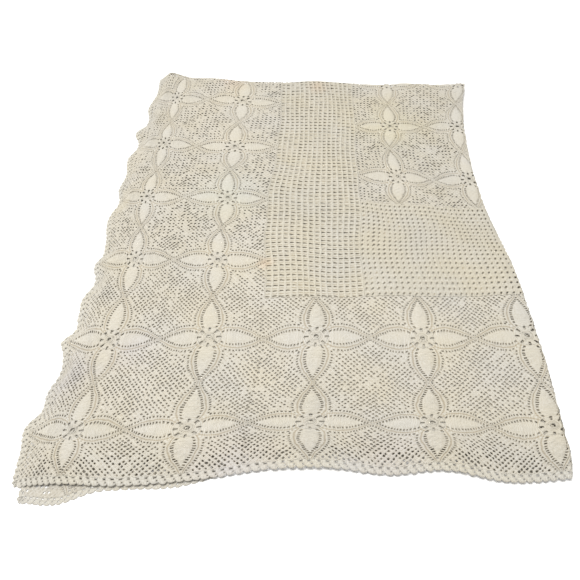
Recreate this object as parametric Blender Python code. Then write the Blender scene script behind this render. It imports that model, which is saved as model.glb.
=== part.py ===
"""Crochet bedspread folded in quarters and laid flat.

The bedspread is one thin cloth of joined panels: a border of flower squares, two side bands and two
end bands of mesh, and a centre block of flower squares. It is folded once lengthwise, with the right
half tucked under, and once across, with the far half tucked under, so it lies in four layers. Flat
cloth is measured from its near left corner: across runs to the right, along runs away.

Metres, +Z up, +Y towards the far fold. The origin is under the middle of the folded bedspread.
"""
import bpy
import bmesh
import numpy as np

# Cloth
SQUARE = 0.2                # side of one flower square
SQUARES_ACROSS = 9
SQUARES_ALONG = 12
EDGING = 0.015              # depth of the scalloped hem, all round
THICKNESS = 0.003
SEAM_GAP = 0.0003           # between neighbouring panels
HALF_ACROSS = SQUARES_ACROSS * SQUARE / 2
HALF_ALONG = SQUARES_ALONG * SQUARE / 2

# Panels, in flat cloth from the near left corner
BORDER = 2 * SQUARE         # width of the flower border
SIDE_BAND = SQUARE          # width of each side band
END_BAND = 1.5 * SQUARE     # width of each end band
BLOCK_ACROSS = BORDER + SIDE_BAND
BLOCK_ALONG = BORDER + END_BAND

# Stack
LAYERS = 4
LEVEL_HEIGHT = 0.017        # top of the stack, away from folds and hems
FOLD_HEIGHT = 0.020         # top of the stack along the two folds
FOLD_REACH = 0.07           # how far from a fold the stack is puffed up
SIDE_HEM_HEIGHT = 0.004     # top of the top layer at its side hem, which hangs down the stack
NEAR_HEM_HEIGHT = 0.0085    # top of the top layer at its near hem
HEM_REACH = 0.06            # cloth that hangs at a hem
PITCH = (FOLD_HEIGHT - THICKNESS) / (LAYERS - 1)    # layer to layer at the folds
SIDE_RADIUS = PITCH / 2     # of the lengthwise fold
FAR_RADIUS = PITCH          # of the fold across, between its inner and outer layers
SIDE_FOLD = HALF_ACROSS + 0.02                      # the lengthwise fold runs just past the middle
FAR_FOLD = HALF_ALONG
SIDE_FOLD_START = SIDE_FOLD - np.pi * SIDE_RADIUS / 2
FAR_FOLD_START = FAR_FOLD - np.pi * FAR_RADIUS / 2
FOLD_STEPS = 5

# Where the top layer lies: each row is a line along the cloth, each column a line across it
LAID_ACROSS = np.array([-EDGING, 0.1, 0.3, 0.4, 0.6, SIDE_FOLD])
LAID_Y_ACROSS = np.array([0.0, 0.4, SIDE_FOLD])
LAID = np.array([
    # along, hem x, flower x, flower x, band x, block x, fold x, left y, middle y, right y
    [-EDGING, 0.014, 0.092, 0.283, 0.384, 0.598, 0.914, -0.006, -0.005, -0.004],
    [0.1, 0.024, 0.096, 0.286, 0.387, 0.599, 0.920, 0.088, 0.090, 0.092],
    [0.3, 0.033, 0.120, 0.306, 0.407, 0.611, 0.931, 0.278, 0.280, 0.282],
    [0.5, 0.046, 0.128, 0.303, 0.407, 0.612, 0.930, 0.486, 0.484, 0.480],
    [0.7, 0.046, 0.120, 0.309, 0.408, 0.624, 0.915, 0.690, 0.686, 0.642],
    [0.9, 0.054, 0.129, 0.314, 0.427, 0.629, 0.921, 0.904, 0.892, 0.866],
    [1.1, 0.062, 0.134, 0.323, 0.436, 0.640, 0.953, 1.116, 1.104, 1.090],
    [1.2, 0.066, 0.144, 0.331, 0.438, 0.641, 0.982, 1.214, 1.206, 1.196],
])

# The near hem's bow: how far it lies from a straight line, at places across the cloth
NEAR_BOW = np.array([
    # across, shift
    [0.00, 0.006],
    [0.10, 0.009],
    [0.20, 0.006],
    [0.32, 0.015],
    [0.45, 0.033],
    [0.53, 0.034],
    [0.62, 0.023],
    [0.71, 0.030],
    [0.81, 0.011],
    [0.92, 0.016],
])
BOW_REACH = 0.20            # how far into the cloth the bow carries

# The far fold's waves
FAR_BOW = np.array([
    # across, shift
    [0.00, 0.040],
    [0.06, 0.042],
    [0.12, 0.030],
    [0.20, 0.030],
    [0.30, 0.012],
    [0.40, 0.006],
    [0.50, 0.014],
    [0.58, 0.008],
    [0.66, 0.001],
    [0.78, 0.010],
    [0.86, 0.001],
    [0.92, 0.012],
])

# Soft rises (and one hollow) of the top layer: middle, height and reach across and along
RISES = np.array([
    # across, along, height, reach across, reach along
    [0.02, 1.19, 0.012, 0.07, 0.06],
    [0.45, 1.19, 0.004, 0.16, 0.05],
    [0.88, 1.17, 0.004, 0.06, 0.08],
    [0.50, 0.00, 0.009, 0.06, 0.045],
    [0.73, 0.01, 0.006, 0.07, 0.04],
    [0.12, 0.02, 0.005, 0.07, 0.05],
    [0.06, 0.30, 0.003, 0.05, 0.06],
    [0.06, 0.50, 0.004, 0.05, 0.06],
    [0.06, 0.71, 0.003, 0.05, 0.06],
    [0.06, 0.92, 0.004, 0.05, 0.06],
    [0.24, 0.20, 0.002, 0.08, 0.10],
    [0.60, 0.56, 0.002, 0.16, 0.05],
    [0.87, 0.50, 0.003, 0.05, 0.16],
    [0.45, 0.85, -0.001, 0.12, 0.18],
])

# Side hem: where each petal row pushes it out, and how far
HEM_BOW = np.array([
    # along, shift of the left hem
    [-0.015, 0.000],
    [0.060, -0.010],
    [0.122, -0.017],
    [0.147, -0.003],
    [0.190, -0.004],
    [0.231, 0.006],
    [0.270, 0.000],
    [0.306, -0.012],
    [0.325, 0.003],
    [0.364, -0.001],
    [0.407, -0.006],
    [0.445, 0.006],
    [0.497, -0.008],
    [0.524, 0.002],
    [0.560, 0.000],
    [0.637, -0.010],
    [0.657, -0.007],
    [0.690, 0.003],
    [0.741, -0.008],
    [0.790, -0.003],
    [0.865, -0.013],
    [0.895, -0.002],
    [0.915, -0.001],
    [0.968, -0.018],
    [0.997, 0.001],
    [1.023, 0.003],
    [1.066, -0.009],
    [1.128, 0.001],
    [1.200, -0.006],
])
HEM_BOW_REACH = 0.035

# How each layer's hems lie inside (+) the top layer's, past what the fold's own place gives
SIDE_PULL = np.array([0.0, 0.006, 0.012, 0.024])
NEAR_PULL = np.array([0.0, 0.046, 0.052, 0.0])
# The bottom layer's near hem, which shows past the top layer's at the left
BOTTOM_NEAR = np.array([
    # across, pull
    [0.00, -0.032],
    [0.09, -0.032],
    [0.14, -0.012],
    [0.20, -0.006],
    [0.32, -0.004],
    [0.42, 0.018],
    [0.92, 0.020],
])
PULL_REACH = 0.6            # how far into the cloth a layer's pull carries

# Section lines of the flat cloth, from a hem to the fold: end of the run, cells in it
SECTIONS_ACROSS = ((0.0, 1), (0.045, 2), (BORDER, 7), (BLOCK_ACROSS, 3), (SIDE_FOLD_START, 5))
SECTIONS_ALONG = ((0.0, 1), (0.045, 2), (BORDER, 6), (BLOCK_ALONG, 5), (FAR_FOLD_START, 8))

COTTON = (0.80, 0.74, 0.63, 1.0)
FLOWER_ROUGHNESS = 0.85
MESH_ROUGHNESS = 0.92


def curve_through(stations, values, where):
    """Cubic through values at the stations, straight past both ends.

    values has one entry, or one row of entries with a column for each place, at each station.
    """
    values = np.asarray(values, dtype=float)
    slopes = np.gradient(values, stations, axis=0)
    inside = np.clip(where, stations[0], stations[-1])
    left = np.clip(np.searchsorted(stations, inside) - 1, 0, len(stations) - 2)
    step = stations[left + 1] - stations[left]
    part = (inside - stations[left]) / step

    def pick(table, row):
        return table[row] if table.ndim == 1 else np.take_along_axis(table, row[None], 0)[0]

    start, end = pick(values, left), pick(values, left + 1)
    start_slope, end_slope = pick(slopes, left) * step, pick(slopes, left + 1) * step
    square, cube = part ** 2, part ** 3
    height = (start * (2 * cube - 3 * square + 1) + end * (3 * square - 2 * cube)
              + start_slope * (cube - 2 * square + part) + end_slope * (cube - square))
    past = where - inside
    return height + past * np.where(past < 0, start_slope, end_slope) / step


def ease(part):
    """Rises from 0 to 1 as part does, level at both ends."""
    part = np.clip(part, 0.0, 1.0)
    return part * part * (3 - 2 * part)


def lie(across, along):
    """Plan position of a place on the top layer."""
    rows, laid_x, laid_y = LAID[:, 0], LAID[:, 1:7], LAID[:, 7:]
    lines = np.array([curve_through(rows, line, along) for line in laid_x.T])
    x = curve_through(LAID_ACROSS, lines, across)
    lines = np.array([curve_through(rows, line, along) for line in laid_y.T])
    y = curve_through(LAID_Y_ACROSS, lines, across)
    kept = np.clip(across, 0.0, SIDE_FOLD)
    y += curve_through(NEAR_BOW[:, 0], NEAR_BOW[:, 1], kept) * ease(1 - along / BOW_REACH)
    far = ease(1 - (FAR_FOLD - along) / BOW_REACH)
    y += curve_through(FAR_BOW[:, 0], FAR_BOW[:, 1], kept) * far
    hem_shift = curve_through(HEM_BOW[:, 0], HEM_BOW[:, 1], along)
    x += hem_shift * np.exp(-np.square((across + EDGING) / HEM_BOW_REACH))
    return x, y


def stack_height(across, along):
    """Height of the top of the stack at a place on the top layer."""
    to_fold = np.minimum(SIDE_FOLD - across, FAR_FOLD - along)
    height = LEVEL_HEIGHT + (FOLD_HEIGHT - LEVEL_HEIGHT) * ease(1 - to_fold / FOLD_REACH)
    for middle_x, middle_y, rise, reach_x, reach_y in RISES:
        bump = np.square((across - middle_x) / reach_x) + np.square((along - middle_y) / reach_y)
        height = height + rise * np.exp(-bump)
    side_drop = (1 - SIDE_HEM_HEIGHT / LEVEL_HEIGHT) * (1 - ease((across + EDGING) / HEM_REACH))
    near_drop = (1 - NEAR_HEM_HEIGHT / LEVEL_HEIGHT) * (1 - ease((along + EDGING) / HEM_REACH))
    return np.maximum(height * (1 - side_drop) * (1 - near_drop), SIDE_HEM_HEIGHT)


def folded(across, along):
    """Place of the cloth's middle surface for flat cloth at (across, along), from the near left.

    Each fold turns through half a turn, as an angle that is 0 on the side that stays up and pi on
    the side tucked under. The height in the stack and the pull of each layer follow the angles.
    """
    side_turn = np.clip((across - SIDE_FOLD_START) / SIDE_RADIUS, 0.0, np.pi)
    far_turn = np.clip((along - FAR_FOLD_START) / FAR_RADIUS, 0.0, np.pi)
    side_up, far_up = np.cos(side_turn), np.cos(far_turn)
    radius = FAR_RADIUS * (1 + side_up / 2)
    level = (far_up * (1 + side_up / 2) + 1.5) / 3
    across = np.minimum(across, SIDE_FOLD_START) - np.maximum(
        across - SIDE_FOLD_START - np.pi * SIDE_RADIUS, 0.0) + SIDE_RADIUS * np.sin(side_turn)
    along = np.minimum(along, FAR_FOLD_START) - np.maximum(
        along - FAR_FOLD_START - np.pi * FAR_RADIUS, 0.0) + radius * np.sin(far_turn)
    shares = np.array([(1 + side_up) * (1 + far_up), (1 - side_up) * (1 + far_up),
                       (1 - side_up) * (1 - far_up), (1 + side_up) * (1 - far_up)]) / 4
    side_pull = np.tensordot(SIDE_PULL, shares, 1)
    near_pull = np.tensordot(NEAR_PULL, shares, 1)
    near_pull += shares[3] * curve_through(BOTTOM_NEAR[:, 0], BOTTOM_NEAR[:, 1],
                                           np.clip(across, 0.0, SIDE_FOLD))
    across = across + side_pull * ease(1 - across / PULL_REACH)
    along = along + near_pull * ease(1 - along / PULL_REACH)
    x, y = lie(across, along)
    z = THICKNESS / 2 + level * (stack_height(across, along) - THICKNESS)
    return np.stack([x, y, z], axis=-1)


def both_faces(across, along):
    """Upper and lower face of the cloth: its middle surface moved along its normal both ways."""
    step = 1e-5
    rightward = folded(across + step, along) - folded(across - step, along)
    away = folded(across, along + step) - folded(across, along - step)
    normal = np.cross(rightward, away)
    normal /= np.linalg.norm(normal, axis=-1, keepdims=True)
    middle = folded(across, along)
    return middle + normal * THICKNESS / 2, middle - normal * THICKNESS / 2


def section_lines(sections, half, fold):
    """Lines from hem to hem: the stated runs, the fold's own lines, then the runs mirrored.

    The runs are mirrored about the middle of the cloth, and a mirrored line that would fall within
    the fold is left out.
    """
    lines = [-EDGING]
    for end, cells in sections:
        lines.extend(np.linspace(lines[-1], end, cells + 1)[1:])
    fold_end = 2 * fold - lines[-1]
    turn = np.linspace(lines[-1], fold_end, FOLD_STEPS + 1)[1:-1]
    mirrored = [2 * half - line for line in reversed(lines) if 2 * half - line > fold_end]
    return np.array([*lines, *turn, fold_end, *mirrored])


ACROSS = section_lines(SECTIONS_ACROSS, HALF_ACROSS, SIDE_FOLD)
ALONG = section_lines(SECTIONS_ALONG, HALF_ALONG, FAR_FOLD)


def cells_between(left, right, near, far):
    """Mask of the cells whose middles lie between four lines of the flat cloth."""
    across_middle = (ACROSS[1:] + ACROSS[:-1]) / 2
    along_middle = (ALONG[1:] + ALONG[:-1]) / 2
    in_across = (across_middle > left) & (across_middle < right)
    in_along = (along_middle > near) & (along_middle < far)
    return in_across[:, None] & in_along[None, :]


def cloth_material(name, roughness):
    """Undyed cotton."""
    material = bpy.data.materials.new(name)
    material.use_nodes = True
    shader = material.node_tree.nodes["Principled BSDF"]
    shader.inputs["Base Color"].default_value = COTTON
    shader.inputs["Roughness"].default_value = roughness
    shader.inputs["Metallic"].default_value = 0.0
    return material


def panel(name, cells, centre, material):
    """Solid of the stated cells: both faces of the cloth, joined by a wall along every free edge.

    A corner on a free edge moves half the seam gap towards the side that has more cells.
    """
    padded = np.pad(cells, 1).astype(int)
    near_left, near_right = padded[:-1, :-1], padded[1:, :-1]
    far_left, far_right = padded[:-1, 1:], padded[1:, 1:]
    to_right = np.sign(near_right + far_right - near_left - far_left) * SEAM_GAP / 2
    to_far = np.sign(far_left + far_right - near_left - near_right) * SEAM_GAP / 2
    used = (near_left + near_right + far_left + far_right) > 0
    upper, lower = both_faces(ACROSS[:, None] + to_right, ALONG[None, :] + to_far)
    count = int(used.sum())
    number = np.full(used.shape, -1)
    number[used] = np.arange(count)

    right, far = np.nonzero(cells)
    corners = np.stack([number[right, far], number[right + 1, far],
                        number[right + 1, far + 1], number[right, far + 1]], axis=1)
    edges = np.concatenate([corners[:, [i, (i + 1) % 4]] for i in range(4)])
    key = edges[:, 0] * count + edges[:, 1]
    free = edges[~np.isin(key, edges[:, 1] * count + edges[:, 0])]
    walls = np.stack([free[:, 1], free[:, 0], free[:, 0] + count, free[:, 1] + count], axis=1)
    faces = np.concatenate([corners, corners[:, ::-1] + count, walls])

    points = np.concatenate([upper[used], lower[used]]) - centre
    mesh = bpy.data.meshes.new(name)
    mesh.from_pydata(points.tolist(), [], faces.tolist())
    shape = bmesh.new()
    shape.from_mesh(mesh)
    bmesh.ops.triangulate(shape, faces=shape.faces[:], quad_method="SHORT_EDGE")
    bmesh.ops.recalc_face_normals(shape, faces=shape.faces[:])
    shape.to_mesh(mesh)
    shape.free()
    mesh.materials.append(material)
    cloth = bpy.data.objects.new(name, mesh)
    bpy.context.scene.collection.objects.link(cloth)
    return cloth


def middle_of_floor():
    """Middle of the folded cloth's plan, on the surface that it lies on."""
    upper, lower = both_faces(*np.meshgrid(ACROSS, ALONG, indexing="ij"))
    points = np.concatenate([upper, lower]).reshape(-1, 3)
    low, high = points.min(axis=0), points.max(axis=0)
    return np.array([(low[0] + high[0]) / 2, (low[1] + high[1]) / 2, 0.0])


def bedspread():
    """The six joined panels."""
    flowers = cloth_material("flower squares", FLOWER_ROUGHNESS)
    mesh_work = cloth_material("mesh bands", MESH_ROUGHNESS)
    centre = middle_of_floor()
    far_side, far_end = 2 * HALF_ACROSS, 2 * HALF_ALONG
    whole = cells_between(-EDGING, far_side + EDGING, -EDGING, far_end + EDGING)
    inside = cells_between(BORDER, far_side - BORDER, BORDER, far_end - BORDER)
    panel("flower_border", whole & ~inside, centre, flowers)
    panel("side_band_left",
          cells_between(BORDER, BLOCK_ACROSS, BORDER, far_end - BORDER), centre, mesh_work)
    panel("side_band_right",
          cells_between(far_side - BLOCK_ACROSS, far_side - BORDER, BORDER, far_end - BORDER),
          centre, mesh_work)
    panel("end_band_near",
          cells_between(BLOCK_ACROSS, far_side - BLOCK_ACROSS, BORDER, BLOCK_ALONG),
          centre, mesh_work)
    panel("end_band_far",
          cells_between(BLOCK_ACROSS, far_side - BLOCK_ACROSS, far_end - BLOCK_ALONG, far_end - BORDER),
          centre, mesh_work)
    panel("flower_centre",
          cells_between(BLOCK_ACROSS, far_side - BLOCK_ACROSS, BLOCK_ALONG, far_end - BLOCK_ALONG),
          centre, flowers)


for thing in list(bpy.data.objects):
    bpy.data.objects.remove(thing)
bedspread()
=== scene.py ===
"""Crochet bedspread folded in quarters: flower squares, mesh bands and a scalloped edging in cotton.

The cloth is worked out flat, as it is crocheted, and every place on it is then carried to where it
lies in the folded stack. Flat cloth is measured from its near left corner: across runs to the right,
along runs away. Metres, +Z up, +Y towards the far fold.
"""
import bpy
import numpy as np
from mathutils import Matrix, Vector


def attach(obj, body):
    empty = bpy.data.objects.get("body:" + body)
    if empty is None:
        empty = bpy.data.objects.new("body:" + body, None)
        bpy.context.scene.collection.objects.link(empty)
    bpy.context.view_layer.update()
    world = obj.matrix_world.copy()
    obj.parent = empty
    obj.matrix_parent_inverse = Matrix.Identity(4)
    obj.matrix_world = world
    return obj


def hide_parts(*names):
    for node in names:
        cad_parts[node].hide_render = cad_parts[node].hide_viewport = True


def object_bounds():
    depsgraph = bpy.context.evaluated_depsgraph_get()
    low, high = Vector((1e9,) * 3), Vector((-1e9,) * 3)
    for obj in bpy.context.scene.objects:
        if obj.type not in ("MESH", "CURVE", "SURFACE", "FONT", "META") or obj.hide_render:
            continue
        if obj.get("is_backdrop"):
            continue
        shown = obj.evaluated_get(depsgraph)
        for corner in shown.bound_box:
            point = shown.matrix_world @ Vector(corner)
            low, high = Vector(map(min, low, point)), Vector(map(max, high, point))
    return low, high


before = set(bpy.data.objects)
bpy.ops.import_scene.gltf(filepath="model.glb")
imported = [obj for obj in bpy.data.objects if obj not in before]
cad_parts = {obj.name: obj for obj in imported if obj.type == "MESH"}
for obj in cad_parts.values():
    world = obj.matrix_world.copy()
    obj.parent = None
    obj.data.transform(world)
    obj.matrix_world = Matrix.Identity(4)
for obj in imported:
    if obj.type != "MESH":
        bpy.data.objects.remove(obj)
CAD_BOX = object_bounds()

scene = bpy.context.scene

# Cloth
SQUARE = 0.2  # side of one flower square
ACROSS = 9 * SQUARE  # the cloth inside its edging
ALONG = 12 * SQUARE
EDGING = 0.015  # depth of the scalloped edging
THICKNESS = 0.003
BORDER = 2 * SQUARE  # width of the flower border
BLOCK_ACROSS = 0.6  # where the centre block of flowers begins
BLOCK_ALONG = 0.7

# Stack: the same folds, hems and laid lines as the solid panels have
LEVEL_HEIGHT = 0.017
FOLD_HEIGHT = 0.020  # at the folds, from FOLD_REACH before them
FOLD_REACH = 0.07
SIDE_HEM_HEIGHT = 0.004  # at the hems, from HEM_REACH before them
NEAR_HEM_HEIGHT = 0.0085
HEM_REACH = 0.06
PITCH = (FOLD_HEIGHT - THICKNESS) / 3  # from one layer to the next
SIDE_RADIUS = PITCH / 2
FAR_RADIUS = PITCH
SIDE_FOLD = ACROSS / 2 + 0.02
FAR_FOLD = ALONG / 2
SIDE_FOLD_START = SIDE_FOLD - np.pi * SIDE_RADIUS / 2
FAR_FOLD_START = FAR_FOLD - np.pi * FAR_RADIUS / 2
PLAN_MIDDLE = (0.49288884, 0.61515204)  # middle of the folded cloth's plan
SIDE_TUCK = SIDE_FOLD + 0.04  # how far the openwork is carried round each fold
FAR_TUCK = FAR_FOLD + 0.05

LAID_ACROSS = np.array([-EDGING, 0.1, 0.3, 0.4, 0.6, SIDE_FOLD])
LAID_Y_ACROSS = np.array([0.0, 0.4, SIDE_FOLD])
LAID = np.array([
    # along, hem x, flower x, flower x, band x, block x, fold x, left y, middle y, right y
    [-EDGING, 0.014, 0.092, 0.283, 0.384, 0.598, 0.914, -0.006, -0.005, -0.004],
    [0.1, 0.024, 0.096, 0.286, 0.387, 0.599, 0.920, 0.088, 0.090, 0.092],
    [0.3, 0.033, 0.120, 0.306, 0.407, 0.611, 0.931, 0.278, 0.280, 0.282],
    [0.5, 0.046, 0.128, 0.303, 0.407, 0.612, 0.930, 0.486, 0.484, 0.480],
    [0.7, 0.046, 0.120, 0.309, 0.408, 0.624, 0.915, 0.690, 0.686, 0.642],
    [0.9, 0.054, 0.129, 0.314, 0.427, 0.629, 0.921, 0.904, 0.892, 0.866],
    [1.1, 0.062, 0.134, 0.323, 0.436, 0.640, 0.953, 1.116, 1.104, 1.090],
    [1.2, 0.066, 0.144, 0.331, 0.438, 0.641, 0.982, 1.214, 1.206, 1.196],
])
NEAR_BOW = np.array([
    # across, shift away from the near edge
    [0.00, 0.10, 0.20, 0.32, 0.45, 0.53, 0.62, 0.71, 0.81, 0.92],
    [0.006, 0.009, 0.006, 0.015, 0.033, 0.034, 0.023, 0.030, 0.011, 0.016],
])
BOW_REACH = 0.20
FAR_BOW = np.array([
    # across, shift of the far fold
    [0.00, 0.06, 0.12, 0.20, 0.30, 0.40, 0.50, 0.58, 0.66, 0.78, 0.86, 0.92],
    [0.040, 0.042, 0.030, 0.030, 0.012, 0.006, 0.014, 0.008, 0.001, 0.010, 0.001, 0.012],
])
RISES = np.array([
    # across, along, height, reach across, reach along
    [0.02, 1.19, 0.012, 0.07, 0.06],
    [0.45, 1.19, 0.004, 0.16, 0.05],
    [0.88, 1.17, 0.004, 0.06, 0.08],
    [0.50, 0.00, 0.009, 0.06, 0.045],
    [0.73, 0.01, 0.006, 0.07, 0.04],
    [0.12, 0.02, 0.005, 0.07, 0.05],
    [0.06, 0.30, 0.003, 0.05, 0.06],
    [0.06, 0.50, 0.004, 0.05, 0.06],
    [0.06, 0.71, 0.003, 0.05, 0.06],
    [0.06, 0.92, 0.004, 0.05, 0.06],
    [0.24, 0.20, 0.002, 0.08, 0.10],
    [0.60, 0.56, 0.002, 0.16, 0.05],
    [0.87, 0.50, 0.003, 0.05, 0.16],
    [0.45, 0.85, -0.001, 0.12, 0.18],
])
FLOOR_GAP = 0.0002  # least height of any place
HEM_BOW = np.array([
    # along, shift of the left hem
    [-0.015, 0.060, 0.122, 0.147, 0.190, 0.231, 0.270, 0.306, 0.325, 0.364, 0.407, 0.445, 0.497, 0.524,
     0.560, 0.637, 0.657, 0.690, 0.741, 0.790, 0.865, 0.895, 0.915, 0.968, 0.997, 1.023, 1.066, 1.128,
     1.200],
    [0.000, -0.010, -0.017, -0.003, -0.004, 0.006, 0.000, -0.012, 0.003, -0.001, -0.006, 0.006, -0.008,
     0.002, 0.000, -0.010, -0.007, 0.003, -0.008, -0.003, -0.013, -0.002, -0.001, -0.018, 0.001, 0.003,
     -0.009, 0.001, -0.006],
])
HEM_BOW_REACH = 0.035
SIDE_PULL = np.array([0.0, 0.006, 0.012, 0.024])  # how far each layer's hem lies in, top to bottom
NEAR_PULL = np.array([0.0, 0.046, 0.052, 0.0])
BOTTOM_NEAR = np.array([
    # across, how far the bottom layer's near hem lies in
    [0.00, 0.09, 0.14, 0.20, 0.32, 0.42, 0.92],
    [-0.032, -0.032, -0.012, -0.006, -0.004, 0.018, 0.020],
])
PULL_REACH = 0.6

# Unevenness of hand work: waves that shift the flat pattern, and what each stitch is off by
DRIFT_WAVES = 9
DRIFT = 0.0026  # height of the long waves
DRIFT_LONGEST = 0.26
SHAKE = 0.0006  # height of the short waves
SHAKE_LONGEST = 0.022
STEADY = 0.05  # the long waves grow over this, from the left and the near side
CRINKLE = 0.00025  # most that a stitch is off by, in the cloth and in its lift
CRINKLE_LIFT = 0.00016
TENTH = 1e-4  # places in the same tenth of a millimetre are off by the same
OFF_GRID = 0.37  # keeps the pattern's lines off the sides of such cells
STEEP = 43758.5
TURNS = np.array([
    # per tenth of a millimetre across, and along
    [12.9, 78.2],
    [39.3, 11.1],
    [73.1, 52.2],
])
PRESSED = 0.3  # share of the lift that is left on the underside
NESTLE = 0.55  # share of the gap under the top layer that the next one rises through
NESTLE_LOST = 0.25  # share of that lost where the mesh is coarse
NESTLE_REACH = 0.02  # it grows over this, from the folds

# Flower square: its strips, side by side from a petal's middle line out, at stations from the flower
# (0) to the square's side (1). Widths in squares.
CELLS = 15  # eyelets from flower to side
IN_CELL = np.array([0.0, 0.27, 0.5, 0.73])  # a post, and three places across its gap
CORNER = 0.70  # station of the column that ends in the square's corner
FAN = 0.8  # how fast the columns before it fan out along the diagonal
STRIPS = np.array([
    # station, petal, eyelets, cord, outer eyelets
    [0.00, 0.040, 0.020, 0.044, 0.020],
    [0.05, 0.060, 0.024, 0.046, 0.021],
    [0.12, 0.070, 0.025, 0.046, 0.022],
    [0.25, 0.074, 0.026, 0.045, 0.022],
    [0.40, 0.065, 0.026, 0.044, 0.022],
    [0.55, 0.047, 0.026, 0.041, 0.022],
    [0.68, 0.026, 0.026, 0.036, 0.021],
    [0.78, 0.008, 0.025, 0.030, 0.020],
    [0.85, 0.000, 0.020, 0.026, 0.019],
    [0.92, 0.000, 0.008, 0.023, 0.018],
    [1.00, 0.000, 0.000, 0.020, 0.018],
])
CORD = np.array([
    # share of the cord's width, lift
    [0.00, 0.0002],
    [0.16, 0.0014],
    [0.40, -0.0009],
    [0.58, -0.0009],
    [0.84, 0.0014],
])
CORD_RIPPLE = 0.0002  # lift of every other stitch along it
BAR = 0.0002  # lift of the bars between posts
CHANNEL = -0.0002  # lift at the edge of a petal
RIM = -0.0008  # lift at the rim of a hole
EYELETS = {"spread": 0.10, "reach": 0.50, "grow": 0.78, "post": 0.0006, "bar": CHANNEL}
OUTER_EYELETS = {"spread": 0.12, "reach": 0.40, "grow": 0.80, "post": 0.0008, "bar": 0.0}
LEAST_EYELET = 0.007  # width that a petal's eyelets need, in squares
EYELET_SIZES = (0.55, 1.3)  # least and most
EYELET_REACH = 0.46  # most that it reaches from its middle, in widths of its row
EYELET_ROUND = 0.07  # how much farther it reaches there than at its corners
EYELET_GROWTH = 0.24  # how much longer a larger one is
EYELET_SHUT = 0.8  # size of one that is shut
FLOWER_EDGE = 0.120  # where the petals start, from the flower's middle
DIAGONAL_EDGE = FLOWER_EDGE / np.sqrt(2)
EYELET_TURN = 0.11  # half the angle of one of the flower's eyelets
TURN_SLACK = 0.01
FIRST_EYELET_RING = 6
FLOWER_RINGS = np.array([
    # from the middle (squares), lift, lift of the spokes over it
    [0.022, -0.0008, 0.0],
    [0.026, 0.0018, 0.0],
    [0.034, 0.0026, 0.0],
    [0.042, 0.0010, 0.0],
    [0.052, -0.0005, 0.0],
    [0.064, 0.0003, 0.0],
    [0.074, -0.0006, 0.0012],
    [0.092, -0.0006, 0.0014],
    [0.110, -0.0006, 0.0012],
])
CROWN = np.array([
    # station, share of the petal's crown
    [0.00, 0.03, 0.08, 0.18, 0.40, 0.60, 0.75, 0.84, 1.00],
    [0.10, 0.55, 0.88, 1.00, 0.90, 0.62, 0.28, 0.00, 0.00],
])
CROWN_HEIGHT = 0.0020
PLUMP = (0.8, 1.12)  # least and most share of a petal's lift
PETAL_LINES = 4
PETAL_RIB = 0.0005
SHADE_DEPTH = 0.0012  # depth below which hollows get all of their painted shade

# Mesh between the flowers: lines both ways on the slant
MESH_PITCH = SQUARE * np.sqrt(2) / 40
MESH_LINES = np.array([0.0, 0.25, 0.5, 0.75])  # a row or a post, and three places across a hole
MESH_ROW = 0.0012  # lift of the rows, and of the posts between
MESH_POST = 0.0007
MESH_SHUT = 0.4 * RIM  # lift of a hole that is shut
MESH_TUCKED = -0.0003  # lift of what goes under the flowers' outer eyelets
LAP = 0.004  # how far it goes under them, in squares
MESH_OPENS = (0.5, 0.25)  # where it is most open: along the petal, and out from it, in squares
MESH_REACH = 0.17
HOLE = 0.66  # size of a hole far from there
HOLE_MORE = 0.42  # and how much more it is there
HOLE_SPREAD = 0.20
HOLE_MOST = 1.5
HOLE_LONG = 1.16  # its length along its row, and its width across
HOLE_NARROW = 0.90
HOLE_OFF = 0.3  # how far its place is off, in quarters of the pitch
ROUNDED = (0.8, 1.05)  # reach of its corners, and of its sides
CLEAR = 0.62  # holes nearer than this to an edge are shut, in pitches
TIGHT = 0.30  # the tighter the mesh, the more are shut, by this
RARELY = -0.96  # least number that leaves one open where the mesh is most open
COARSE_FROM = 0.35  # where along the cloth the mesh starts to be coarser
COARSE_OVER = 0.45  # and over what length
COARSE_GROWTH = 0.45  # how much its holes grow there
COARSE_SHUT = (0.9, 0.15)  # share of every other hole that is shut there, and of all holes
HAIR = 1e-6  # decides which piece has a hole whose middle is on a side


def curve_through(stations, values, where):
    """Cubic through values at the stations, straight past both ends."""
    values = np.asarray(values, dtype=float)
    slopes = np.gradient(values, stations, axis=0)
    inside = np.clip(where, stations[0], stations[-1])
    left = np.clip(np.searchsorted(stations, inside) - 1, 0, len(stations) - 2)
    step = stations[left + 1] - stations[left]
    part = (inside - stations[left]) / step

    def pick(table, row):
        return table[row] if table.ndim == 1 else np.take_along_axis(table, row[None], 0)[0]

    start, end = pick(values, left), pick(values, left + 1)
    start_slope, end_slope = pick(slopes, left) * step, pick(slopes, left + 1) * step
    square, cube = part ** 2, part ** 3
    height = (start * (2 * cube - 3 * square + 1) + end * (3 * square - 2 * cube)
              + start_slope * (cube - 2 * square + part) + end_slope * (cube - square))
    past = where - inside
    return height + past * np.where(past < 0, start_slope, end_slope) / step


def looked_up(table, where):
    """Cubic through a table of two rows."""
    return curve_through(*table, where)


def ease(part):
    """Rises from 0 to 1 as part does, level at both ends: 3 p squared less 2 p cubed."""
    part = np.clip(part, 0.0, 1.0)
    return part * part * (3 - 2 * part)


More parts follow.
